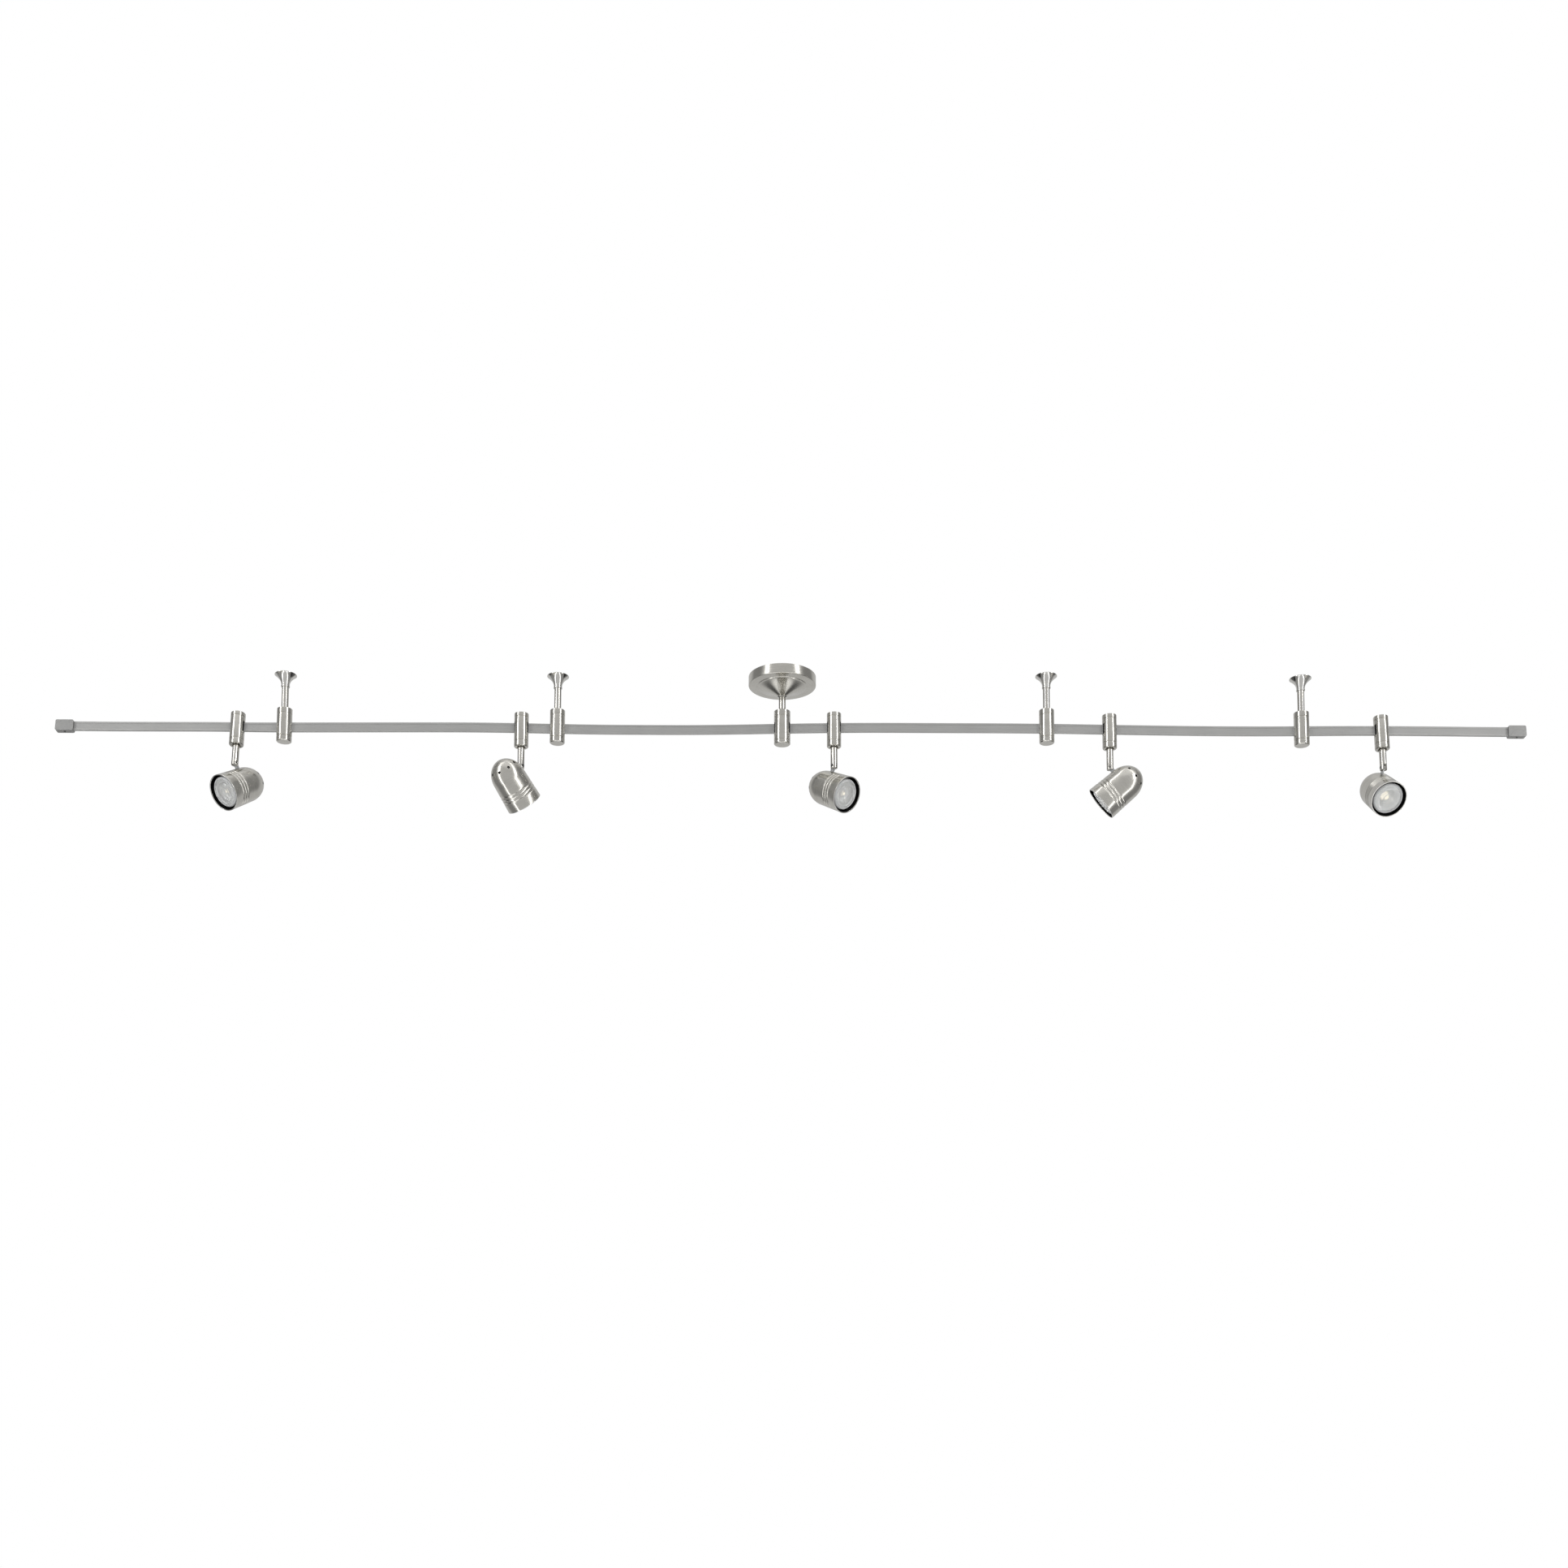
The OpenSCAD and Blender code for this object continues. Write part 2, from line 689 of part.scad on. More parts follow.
rail_core(rail_x0 + cap_wall + fit, -rail_gap);  // rail_core_left
rail_core(rail_gap, rail_x1 - cap_wall - fit);  // rail_core_right
rail_bars(rail_x0 + cap_wall + fit, -rail_gap);  // rail_bars_left
rail_bars(rail_gap, rail_x1 - cap_wall - fit);  // rail_bars_right
end_cap(-1);  // end_cap_left
end_cap(1);  // end_cap_right
grub_screws();
canopy_cover();
canopy_crossbar();
canopy_nipple();
canopy_collar();
earth_screw();
feed_stem();
feed_clamp();
feed_leads();
clamp_jaws();
contact_blocks();
standoff_bases();
standoff_rods();
standoff_clamps();
standoff_caps();
for (k = [0:3])
    standoff_cup(k);
for (k = [0:4]) {
    head_clamp(k);
    stem(k);
    pivot_screw(k);
    shell(k);
    bracket(k);
    lamp(k);
    socket(k);
}
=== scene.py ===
"""Looks of the ceiling track light: turned metal pieces, lamps, rail finish, studio and camera.

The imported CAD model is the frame. Turned pieces are made once in millimetres round their own Z axis,
then placed by the joints and by the rail itself.
"""
import json
import math

import bmesh
import bpy
from mathutils import Matrix, Vector


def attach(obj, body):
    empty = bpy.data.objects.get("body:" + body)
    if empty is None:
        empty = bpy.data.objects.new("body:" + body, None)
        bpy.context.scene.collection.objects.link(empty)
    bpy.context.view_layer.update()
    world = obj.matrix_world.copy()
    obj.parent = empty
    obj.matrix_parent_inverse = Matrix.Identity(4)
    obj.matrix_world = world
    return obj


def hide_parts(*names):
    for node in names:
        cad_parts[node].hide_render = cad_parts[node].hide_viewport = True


MM = 0.001
# Point attributes of turned pieces: where a point was on the lathe, and the direction of its marks.
MADE_AT = "made_at"
AROUND = "around"
HEADS = range(1, 6)
STANDOFFS = range(1, 5)

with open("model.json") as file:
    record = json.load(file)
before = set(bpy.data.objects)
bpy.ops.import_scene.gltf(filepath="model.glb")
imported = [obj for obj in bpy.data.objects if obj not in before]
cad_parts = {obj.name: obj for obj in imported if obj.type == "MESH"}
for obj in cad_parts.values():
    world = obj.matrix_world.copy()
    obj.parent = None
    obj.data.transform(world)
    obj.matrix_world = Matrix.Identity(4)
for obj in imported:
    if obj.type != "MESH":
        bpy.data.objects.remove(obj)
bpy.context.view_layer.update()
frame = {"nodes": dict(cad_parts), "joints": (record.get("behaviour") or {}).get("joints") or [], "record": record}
nodes = frame["nodes"]
joints = {j["name"]: j for j in frame["joints"]}
mounts = {m["name"]: m for m in frame["record"]["mounts"]}


# ---- places taken from the frame ---------------------------------------------------------------

def basis(x_axis, y_axis, z_axis, origin):
    """A matrix with these three directions as its axes, at this origin."""
    m = Matrix((x_axis, y_axis, z_axis)).transposed().to_4x4()
    m.translation = origin
    return m


def rail_stations():
    """The rail's cross sections in order, each as (middle, up direction)."""
    points = []
    for name in ("rail_bars_left", "rail_bars_right"):
        points += [v.co.copy() for v in nodes[name].data.vertices]
    points.sort(key=lambda p: p.x)
    groups = [[points[0]]]
    for p in points[1:]:
        if p.x - groups[-1][-1].x > 2 * MM:
            groups.append([])
        groups[-1].append(p)
    stations = []
    for group in groups:
        middle = sum(group, Vector()) / len(group)
        upper = [p for p in group if p.z > middle.z]
        up = sum(upper, Vector()) / len(upper) - middle
        stations.append((middle, up.normalized()))
    return stations


STATIONS = rail_stations()


def rail_frame(x):
    """The rail's frame at x: X along it, Z up across its height, the origin in its middle."""
    after = next(i for i, s in enumerate(STATIONS) if s[0].x > x)
    (a, up_a), (b, up_b) = STATIONS[after - 1], STATIONS[after]
    share = (x - a.x) / (b.x - a.x)
    along = (b - a).normalized()
    up = up_a.lerp(up_b, share)
    back = up.cross(along).normalized()
    return basis(along, back, along.cross(back), a.lerp(b, share))


def stem_frame(k):
    """Head k's swivel frame: the origin at the tilt pivot, X along the aim, Z up the stem."""
    up = Vector(joints[f"swivel_{k}"]["axis"])
    side = Vector(joints[f"tilt_{k}"]["axis"])
    return basis(side.cross(up), side, up, Vector(joints[f"tilt_{k}"]["pos_m"]))


def head_frame(k):
    """Head k's frame at the pivot, X along the shell's axis towards the rim."""
    tilt = -math.radians(joints[f"tilt_{k}"]["range_deg"][0])
    return stem_frame(k) @ Matrix.Rotation(tilt, 4, "Y")


def local_box(node, place):
    """Lowest and highest corners of a CAD node in the frame that place gives, in millimetres."""
    inverse = place.inverted()
    points = [inverse @ v.co / MM for v in nodes[node].data.vertices]
    low = Vector(min(p[i] for p in points) for i in range(3))
    high = Vector(max(p[i] for p in points) for i in range(3))
    return low, high


def shell_frame(k):
    """The frame on shell k's axis: the origin in the rim's plane, Z towards the dome, X to the pivot."""
    head = head_frame(k)
    low, high = local_box(f"shell_{k}", head)
    rim = Vector((high.x, 0, (low.z + high.z) / 2)) * MM
    return head @ Matrix.Translation(rim) @ Matrix.Rotation(-math.pi / 2, 4, "Y")


# ---- materials ---------------------------------------------------------------------------------

# Most of a noise texture's values lie between these two.
NOISE_LOW = 0.3
NOISE_HIGH = 0.7


class Shader:
    """A Principled material with small helpers to build its node tree."""

    def __init__(self, name, **inputs):
        self.material = bpy.data.materials.new(name)
        self.material.use_nodes = True
        self.tree = self.material.node_tree
        self.surface = self.tree.nodes["Principled BSDF"]
        for key, value in inputs.items():
            self.surface.inputs[key.replace("_", " ")].default_value = value

    def add(self, kind, inputs=None, **settings):
        node = self.tree.nodes.new(kind)
        for key, value in settings.items():
            setattr(node, key, value)
        for key, value in (inputs or {}).items():
            socket = node.inputs[key]
            if isinstance(value, bpy.types.NodeSocket):
                self.tree.links.new(value, socket)
            else:
                socket.default_value = value
        return node

    def math(self, operation, a, b=0.0):
        return self.add("ShaderNodeMath", {0: a, 1: b}, operation=operation).outputs[0]

    def link(self, output, name):
        self.tree.links.new(output, self.surface.inputs[name])

    def noise(self, vector, scale, detail=3.0, roughness=0.6):
        inputs = {"Vector": vector, "Scale": scale, "Detail": detail, "Roughness": roughness}
        return self.add("ShaderNodeTexNoise", inputs).outputs["Fac"]

    def spread(self, value, low, high):
        """The middle of a noise's range spread over low to high."""
        inputs = {"Value": value, "From Min": NOISE_LOW, "From Max": NOISE_HIGH}
        inputs.update({"To Min": low, "To Max": high})
        return self.add("ShaderNodeMapRange", inputs).outputs["Result"]

    def tint(self, value, dark, light):
        """A colour between dark and light."""
        inputs = {"Factor": value, 6: (*dark, 1), 7: (*light, 1)}
        return self.add("ShaderNodeMix", inputs, data_type="RGBA").outputs[2]

    def bump(self, height, strength, distance):
        inputs = {"Height": height, "Strength": strength, "Distance": distance}
        self.link(self.add("ShaderNodeBump", inputs).outputs["Normal"], "Normal")


def object_point(shader):
    """The point's place on its object."""
    return shader.add("ShaderNodeTexCoord").outputs["Object"]


def attribute(shader, name):
    """A point attribute's vector."""
    return shader.add("ShaderNodeAttribute", attribute_name=name).outputs["Vector"]


def turned_point(shader, across, around):
    """Coordinates that run across the lathe's marks quickly and around them slowly."""
    axes = shader.add("ShaderNodeSeparateXYZ", {0: attribute(shader, MADE_AT)}).outputs
    squares = shader.math("ADD", shader.math("MULTIPLY", axes[0], axes[0]),
                          shader.math("MULTIPLY", axes[1], axes[1]))
    radius = shader.math("SQRT", squares)
    angle = shader.math("ARCTAN2", axes[1], axes[0])
    turned = {0: shader.math("MULTIPLY", radius, across), 1: shader.math("MULTIPLY", axes[2], across),
              2: shader.math("MULTIPLY", shader.math("ABSOLUTE", angle), around)}
    return shader.add("ShaderNodeCombineXYZ", turned).outputs[0]


def turned_metal(name, dark, light, roughness, stretch=0.5, marks=0.05):
    """Plated metal brushed round its axis: fine rings, broad cloudiness and a stretched highlight."""
    s = Shader(name, Metallic=1.0, Anisotropic=stretch, Anisotropic_Rotation=0.25)
    rings = s.noise(turned_point(s, 2600.0, 1.2), 1.0, 4.0, 0.7)
    clouds = s.noise(object_point(s), 55.0, 3.0, 0.55)
    mixed = s.math("ADD", s.math("MULTIPLY", rings, 0.65), s.math("MULTIPLY", clouds, 0.35))
    s.link(s.tint(s.spread(mixed, 0.0, 1.0), dark, light), "Base Color")
    s.link(s.spread(mixed, roughness - 0.05, roughness + 0.07), "Roughness")
    s.bump(rings, marks, 0.00004)
    along_marks = s.add("ShaderNodeVectorTransform", {0: attribute(s, AROUND)}, vector_type="VECTOR",
                        convert_from="OBJECT", convert_to="WORLD")
    s.link(along_marks.outputs[0], "Tangent")
    return s.material


def polished_metal(name, dark, light, roughness):
    """Bright plate with faint swirls and a little orange peel."""
    s = Shader(name, Metallic=1.0)
    swirls = s.noise(object_point(s), 240.0, 5.0, 0.6)
    s.link(s.tint(s.spread(swirls, 0.0, 1.0), dark, light), "Base Color")
    s.link(s.spread(swirls, roughness, roughness + 0.06), "Roughness")
    s.bump(swirls, 0.08, 0.00005)
    return s.material


def drawn_metal(name, dark, light, roughness, metallic=1.0, stretched=(12.0, 900.0, 900.0)):
    """Metal drawn or brushed along X: long fine streaks."""
    s = Shader(name, Metallic=metallic)
    place = s.add("ShaderNodeMapping", {"Vector": object_point(s), "Scale": stretched}).outputs[0]
    streaks = s.noise(place, 1.0, 4.0, 0.65)
    clouds = s.noise(object_point(s), 24.0, 2.0, 0.5)
    mixed = s.math("ADD", s.math("MULTIPLY", streaks, 0.7), s.math("MULTIPLY", clouds, 0.3))
    s.link(s.tint(s.spread(mixed, 0.0, 1.0), dark, light), "Base Color")
    s.link(s.spread(mixed, roughness - 0.06, roughness + 0.08), "Roughness")
    s.bump(streaks, 0.15, 0.00006)
    return s.material


def moulded_plastic(name, dark, light, roughness, **inputs):
    """Moulded plastic with a fine spark-eroded grain."""
    s = Shader(name, **inputs)
    grain = s.noise(object_point(s), 1400.0, 2.0, 0.5)
    clouds = s.noise(object_point(s), 60.0, 2.0, 0.5)
    s.link(s.tint(s.spread(clouds, 0.0, 1.0), dark, light), "Base Color")
    s.link(s.spread(grain, roughness - 0.06, roughness + 0.06), "Roughness")
    s.bump(grain, 0.2, 0.00008)
    return s.material


def clear_lens_painted_glow(name):
    """Clear moulded optic with a faint flow pattern and a faint warm painted glow."""
    # The faint warm emission is a painted glow on the lens of an unlit lamp.
    s = Shader(name, Base_Color=(0.97, 0.98, 0.98, 1), Transmission_Weight=0.82, IOR=1.49,
               Coat_Weight=0.3, Coat_Roughness=0.05,
               Emission_Color=(1.0, 0.98, 0.94, 1), Emission_Strength=0.03)
    flow = s.noise(object_point(s), 160.0, 2.0, 0.5)
    s.link(s.spread(flow, 0.04, 0.12), "Roughness")
    s.bump(flow, 0.15, 0.0001)
    return s.material


# Each has a darker and a lighter colour, then its roughness.
NICKEL = turned_metal("brushed_nickel_turned", (0.53, 0.515, 0.475), (0.69, 0.675, 0.63), 0.2)
NICKEL_FINE = turned_metal("brushed_nickel_fine", (0.54, 0.525, 0.49), (0.70, 0.685, 0.645), 0.16,
                           stretch=0.4, marks=0.03)
POLISHED = polished_metal("polished_nickel", (0.68, 0.67, 0.64), (0.78, 0.77, 0.74), 0.07)
RAIL = drawn_metal("rail_satin", (0.42, 0.42, 0.41), (0.50, 0.50, 0.49), 0.42, metallic=0.85)
WEB = drawn_metal("rail_web_satin", (0.38, 0.38, 0.375), (0.45, 0.45, 0.44), 0.5, metallic=0.6)
CAP = drawn_metal("end_cap_satin", (0.33, 0.33, 0.325), (0.42, 0.42, 0.41), 0.4,
                  metallic=0.85, stretched=(300.0, 500.0, 300.0))
SHEET = drawn_metal("zinc_sheet", (0.48, 0.49, 0.5), (0.62, 0.63, 0.64), 0.38,
                    stretched=(60.0, 700.0, 700.0))
DARK_STEEL = polished_metal("dark_screw_steel", (0.16, 0.16, 0.16), (0.26, 0.26, 0.255), 0.3)
BRASS = turned_metal("turned_brass", (0.58, 0.42, 0.17), (0.76, 0.58, 0.27), 0.25, stretch=0.3)
GREEN = polished_metal("green_earth_screw", (0.02, 0.18, 0.06), (0.04, 0.27, 0.1), 0.32)
BLACK = moulded_plastic("black_insulator", (0.004, 0.004, 0.004), (0.01, 0.01, 0.01), 0.6,
                        Specular_IOR_Level=0.15)
# Near-black on the shell's inside faces: painted shade for the shadow inside the shell and in the gap round the
# lamp.
INSIDE_PAINTED_SHADE = moulded_plastic("painted_shade_shell_inside", (0.006, 0.006, 0.006), (0.016, 0.016, 0.016), 0.45,
                         Specular_IOR_Level=0.3)
WIRE = moulded_plastic("wire_insulation", (0.04, 0.04, 0.04), (0.08, 0.08, 0.08), 0.4)
LAMP_WHITE = moulded_plastic("lamp_housing", (0.66, 0.67, 0.67), (0.76, 0.77, 0.77), 0.32)
CERAMIC = moulded_plastic("lampholder_ceramic", (0.74, 0.72, 0.66), (0.84, 0.82, 0.77), 0.35)
REFLECTOR = polished_metal("lamp_reflector", (0.8, 0.8, 0.79), (0.88, 0.88, 0.87), 0.2)
# The LED's emission is a painted glow: the lamps are unlit.
PHOSPHOR_PAINTED_GLOW = moulded_plastic("led_phosphor_painted_glow", (0.86, 0.82, 0.66), (0.92, 0.89, 0.76), 0.3,
                           Emission_Color=(1.0, 0.88, 0.68, 1), Emission_Strength=0.9)
LENS = clear_lens_painted_glow("clear_lens_painted_glow")


# ---- mesh tools --------------------------------------------------------------------------------

# A radius in mm below which an outline's point is on the axis.
ON_AXIS = 1e-6
PEG_SEGMENTS = 32
# Edges that turn by more than this are bevelled.
BEVEL_ANGLE = math.radians(50)
# A corner is rounded over at most this share of the shorter edge beside it.
CORNER_SHARE = 0.45


def rounded(points, radius, closed=False, steps=4):
    """An outline with its corners rounded by radius, or less where an edge is short."""
    n = len(points)
    made = []
    for i, p in enumerate(points):
        if not closed and i in (0, n - 1):
            made.append(p)
            continue
        p = Vector(p)
        before = Vector(points[i - 1]) - p
        after = Vector(points[(i + 1) % n]) - p
        reach = min(radius, CORNER_SHARE * before.length, CORNER_SHARE * after.length)
        start = p + before.normalized() * reach
        end = p + after.normalized() * reach
        for step in range(steps + 1):
            t = step / steps
            made.append(tuple(start.lerp(p, t).lerp(p.lerp(end, t), t)))
    return made


def finish_mesh(mesh, sharp_deg=35.0):
    """Smooth shading with sharp edges kept."""
    mesh.shade_smooth()
    mesh.set_sharp_from_angle(angle=math.radians(sharp_deg))
    return mesh


def lathe(name, outline, closed=False, segments=96):
    """A mesh turned round Z from (radius, height) points in mm.

    Unless it is closed, the outline starts and ends on the axis.
    """
    bm = bmesh.new()
    rings = []
    for r, z in outline:
        if r < ON_AXIS:
            rings.append([bm.verts.new((0, 0, z * MM))])
            continue
        angles = (2 * math.pi * i / segments for i in range(segments))
        rings.append([bm.verts.new((r * MM * math.cos(a), r * MM * math.sin(a), z * MM)) for a in angles])
    pairs = list(zip(rings, rings[1:]))
    if closed:
        pairs.append((rings[-1], rings[0]))
    for a, b in pairs:
        for i in range(segments):
            j = (i + 1) % segments
            corners = [a[i % len(a)], a[j % len(a)], b[j % len(b)], b[i % len(b)]]
            face = list(dict.fromkeys(corners))
            if len(face) > 2:
                bm.faces.new(face)
    bmesh.ops.recalc_face_normals(bm, faces=bm.faces)
    mesh = bpy.data.meshes.new(name)
    bm.to_mesh(mesh)
    bm.free()
    return finish_mesh(mesh)


def block(low, high):
    """A box mesh between two corners in mm."""
    low, high = Vector(low) * MM, Vector(high) * MM
    bm = bmesh.new()
    bmesh.ops.create_cube(bm, size=1.0)
    for v in bm.verts:
        v.co = Vector(low[i] if v.co[i] < 0 else high[i] for i in range(3))
    mesh = bpy.data.meshes.new("block")
    bm.to_mesh(mesh)
    bm.free()
    return mesh


def peg(radius, low, high, place):
    """A plain cylinder mesh round Z in mm, moved by a matrix."""
    mesh = lathe("peg", [(0, low), (radius, low), (radius, high), (0, high)], segments=PEG_SEGMENTS)
    mesh.transform(place)
    return mesh


def combine(mesh, others, operation="DIFFERENCE", bevel=0.0):
    """mesh cut by each of the other meshes in turn, or kept only inside them, with softened edges."""
    base = bpy.data.objects.new("base", mesh)
    bpy.context.scene.collection.objects.link(base)
    tools = []
    for other in others:
        tool = bpy.data.objects.new("tool", other)
        bpy.context.scene.collection.objects.link(tool)
        tools.append(tool)
        modifier = base.modifiers.new("cut", "BOOLEAN")
        modifier.operation = operation
        modifier.solver = "EXACT"
        modifier.object = tool
    if bevel:
        modifier = base.modifiers.new("soften", "BEVEL")
        modifier.width = bevel * MM
        modifier.segments = 2
        modifier.limit_method = "ANGLE"
        modifier.angle_limit = BEVEL_ANGLE
    finished = base.evaluated_get(bpy.context.evaluated_depsgraph_get())
    made = bpy.data.meshes.new_from_object(finished)
    made.name = mesh.name
    for o in [base, *tools]:
        bpy.data.objects.remove(o)
    return finish_mesh(made)


def placed(mesh, place):
    """A copy of a turned mesh moved to its place, which keeps where each point was on the lathe."""
    made = mesh.copy()
    made_at = made.attributes.new(MADE_AT, "FLOAT_VECTOR", "POINT")
    around = made.attributes.new(AROUND, "FLOAT_VECTOR", "POINT")
    turn = place.to_3x3()
    for i, v in enumerate(made.vertices):
        made_at.data[i].vector = v.co
        around.data[i].vector = turn @ Vector((-v.co.y, v.co.x, 0)).normalized()
    made.transform(place)
    return made


def piece(name, mesh, place, body, materials, stands_for=()):
    """Puts a turned mesh in the row frame as a piece that moves with a body."""
    o = bpy.data.objects.new(name, placed(mesh, place))
    bpy.context.scene.collection.objects.link(o)
    for m in materials:
        o.data.materials.append(m)
    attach(o, body)
    if stands_for:
        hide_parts(*stands_for)


# ---- turned pieces -----------------------------------------------------------------------------
# Every size below is in millimetres.

HOME = Matrix.Identity(4)
# How many segments the larger turned pieces have.
FINE = 128
FINEST = 192

# Clamps: half the rail's slot and half the rail's thickness, half the insulating block's pocket, and the
# front jaw's split as a share of the clamp's radius, with the gap along it.
RAIL_SLOT_HALF = 8.3
RAIL_HALF_T = 2.15
INSULATOR_HALF = 9.1
JAW_SHARE = 0.52
SPLIT_GAP = 0.12
CLAMP_CHAMFER = 1.1
CLAMP_ROUND = 0.4
SPLIT_BEVEL = 0.18
# The round recess that a stem turns in.
RECESS_R = 7.2
RECESS_DEPTH = 4.0
# A clamp's two grooves: one above its foot, one below its top.
HEAD_GROOVES = (9.6, 6.6)
FEED_GROOVES = (5.7, 9.9)


def groove(r, z, width=1.2, depth=0.85):
    """Outline points of a ring groove, going up."""
    return [(r, z - width / 2), (r - depth, z - width / 2), (r - depth, z + width / 2), (r, z + width / 2)]


def clamp_blank(name, r, low, high, grooves, recess=0.0):
    """A turned clamp with ring grooves and rounded edges, and a round recess in its underside."""
    recess_z = low + RECESS_DEPTH
    bottom = [(0, recess_z), (recess, recess_z), (recess, low)] if recess else [(0, low)]
    outline = bottom + [(r - CLAMP_CHAMFER, low), (r, low + CLAMP_CHAMFER)]
    for z in grooves:
        outline += groove(r, z)
    outline += [(r, high), (0, high)]
    return lathe(name, rounded(outline, CLAMP_ROUND), segments=FINE)


def clamp_meshes(name, r, low, high, grooves, recess):
    """A split clamp's rear body, slotted for the rail and its insulating block, and front jaw."""
    wide = 2 * r
    jaw_y = -JAW_SHARE * r
    blank = clamp_blank(name, r, low, high, grooves, recess)
    body = combine(blank.copy(), [
        block((-wide, -wide, low - 1), (wide, jaw_y, high + 1)),
        block((-wide, -wide, -RAIL_SLOT_HALF), (wide, RAIL_HALF_T, RAIL_SLOT_HALF)),
        block((-wide, -wide, -INSULATOR_HALF), (wide, -RAIL_HALF_T, INSULATOR_HALF)),
    ], bevel=SPLIT_BEVEL)
    jaw = combine(blank, [
        block((-wide, -wide, low - 1), (wide, jaw_y - SPLIT_GAP, high + 1)),
    ], "INTERSECT", bevel=SPLIT_BEVEL)
    return body, jaw


def make_clamp(node, body_name, jaw_name, place, grooves, recess=0.0):
    """The body and the jaw of one clamp on the rail."""
    low, high = local_box(node, place)
    above_foot, below_top = grooves
    heights = (low.z + above_foot, high.z - below_top)
    body, jaw = clamp_meshes(node, (high.x - low.x) / 2, low.z, high.z, heights, recess)
    piece(body_name, body, place, "root", [NICKEL], [node])
    piece(jaw_name, jaw, place, "root", [NICKEL], ["clamp_jaws"])


def make_clamps():
    """The head clamps and the feed clamp."""
    for k in HEADS:
        place = rail_frame(joints[f"swivel_{k}"]["pos_m"][0])
        names = (f"head_clamp_{k}", f"head_clamp_body_{k}", f"head_clamp_jaw_{k}")
        make_clamp(*names, place, HEAD_GROOVES, RECESS_R)
    make_clamp("feed_clamp", "feed_clamp_body", "feed_clamp_jaw", rail_frame(0.0), FEED_GROOVES)


# The canopy: its wall, the step at its ring, and the bell from the ring to its tip.
CANOPY_WALL = 16.0
CANOPY_SHEET = 1.0
CANOPY_ROUND = 1.2
RING_R = 42.2
RING_DROP = 1.1
RING_STEP = 1.2
BELL_INSET = 1.4
BELL_TIP_R = 7.0
BELL_STEPS = 18
# How much of the bell's drop is even and how much grows with the square of the way in.
BELL_SHARES = (0.55, 0.45)
NIPPLE_HOLE_R = 5.3
# The lock collar: its bore, how far it bulges, and half the height of its widest band.
COLLAR_BORE_R = 5.0
COLLAR_BULGE = 1.8
COLLAR_BAND_HALF = 0.3
# The feed stem: its bore and the neck at its foot.
FEED_BORE_R = 3.9
FEED_NECK_R = 4.5
FEED_NECK_LEN = 7.7


def bell_points(top, tip):
    """The bell's outline from its ring to its tip: nearly a cone, a little steeper towards the tip."""
    even, squared = BELL_SHARES
    start_r = RING_R - BELL_INSET
    points = []
    for i in range(BELL_STEPS + 1):
        u = i / BELL_STEPS
        drop = even * u + squared * u * u
        points.append((start_r - (start_r - BELL_TIP_R) * u, top + (tip - top) * drop))
    return points


def canopy_mesh():
    """The canopy's rolled edge, stepped underside and bell, with the sheet's inner side."""
    low, high = local_box("canopy_cover", HOME)
    r, edge, tip = high.x, high.z, low.z
    foot = edge - CANOPY_WALL
    ring_z = foot - RING_DROP
    bell_top = ring_z - RING_STEP
    bell = bell_points(bell_top, tip)
    wall = [(r - CANOPY_SHEET, edge), (r, edge - 0.3), (r, foot)]
    ring = [(RING_R + 0.8, ring_z), (RING_R, ring_z - 0.2), (RING_R - 0.5, bell_top)]
    outer = rounded(wall + ring, CANOPY_ROUND) + bell
    inner = [(r - CANOPY_SHEET, foot + CANOPY_SHEET), (RING_R - 1.5, ring_z + CANOPY_SHEET)]
    inner += [(x - CANOPY_SHEET * 0.6, z + CANOPY_SHEET) for x, z in bell[2:-1]]
    inner += [(NIPPLE_HOLE_R, tip + CANOPY_SHEET), (NIPPLE_HOLE_R, tip)]
    return lathe("canopy", outer + inner[::-1], closed=True, segments=FINEST)


def collar_mesh():
    """The lock collar, a ring with a bulged side."""
    low, high = local_box("canopy_collar", HOME)
    middle = (low.z + high.z) / 2
    flat_r = high.x - COLLAR_BULGE
    outline = [(COLLAR_BORE_R, low.z), (flat_r, low.z), (high.x, middle - COLLAR_BAND_HALF),
               (high.x, middle + COLLAR_BAND_HALF), (flat_r, high.z), (COLLAR_BORE_R, high.z)]
    return lathe("collar", rounded(outline, 0.6, closed=True), closed=True)


def feed_stem_mesh():
    """The feed stem, a tube with a thinner neck at its foot."""
    low, high = local_box("feed_stem", HOME)
    shoulder = low.z + FEED_NECK_LEN
    outline = [(FEED_BORE_R, low.z), (FEED_NECK_R, low.z), (FEED_NECK_R, shoulder), (high.x, shoulder),
               (high.x, high.z), (FEED_BORE_R, high.z)]
    return lathe("feed_stem", rounded(outline, 0.3, closed=True), closed=True)


def make_canopy():
    """The canopy cover, its lock collar and the feed stem."""
    piece("canopy_shell", canopy_mesh(), HOME, "root", [NICKEL], ["canopy_cover"])
    piece("canopy_lock_collar", collar_mesh(), HOME, "root", [POLISHED],
          ["canopy_collar"])
    piece("feed_stem_tube", feed_stem_mesh(), HOME, "root", [NICKEL_FINE], ["feed_stem"])


# A standoff's cup: its neck, how far above its bottom the flare ends, and its lip.
CUP_NECK_R = 6.8
FLARE_END = 4.2
FLARE_STEPS = 24
LIP_H = 0.9
# Inside, a straight bore up to here and a cone to the mouth.
CUP_BORE_R = 5.8
CUP_BORE_TOP = -7.0
CUP_MOUTH_R = 13.1
CUP_MOUTH_Z = -3.1
# Its rod, below the ceiling.
ROD_R = 5.7
ROD_TOP = -7.2
ROD_FOOT = -59.4
